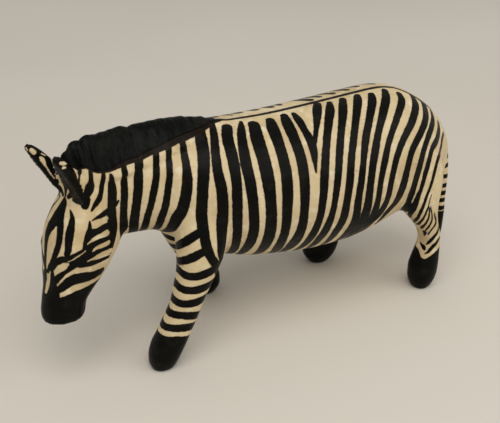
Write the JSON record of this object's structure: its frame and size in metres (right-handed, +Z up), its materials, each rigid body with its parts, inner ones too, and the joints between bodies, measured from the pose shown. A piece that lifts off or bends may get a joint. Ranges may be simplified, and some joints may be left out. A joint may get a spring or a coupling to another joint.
{
  "type": "zebra figurine",
  "caption": "Carved wooden zebra walking with lowered head, black and cream painted stripes, a ridged mane and a hanging tail.",
  "frame": {"origin": "centre of the bounding box at the level of the soles", "axes": "+Z up, -X towards the head and +X towards the tail, -Y is the zebra's left side and +Y its right side"},
  "size_m": [0.1892, 0.0554, 0.0923],
  "materials": {
    "painted_wood": "hand-painted black stripes on aged cream, satin varnish"
  },
  "bodies": {
    "root": {"zebra": "painted_wood"}
  },
  "joints": []
}
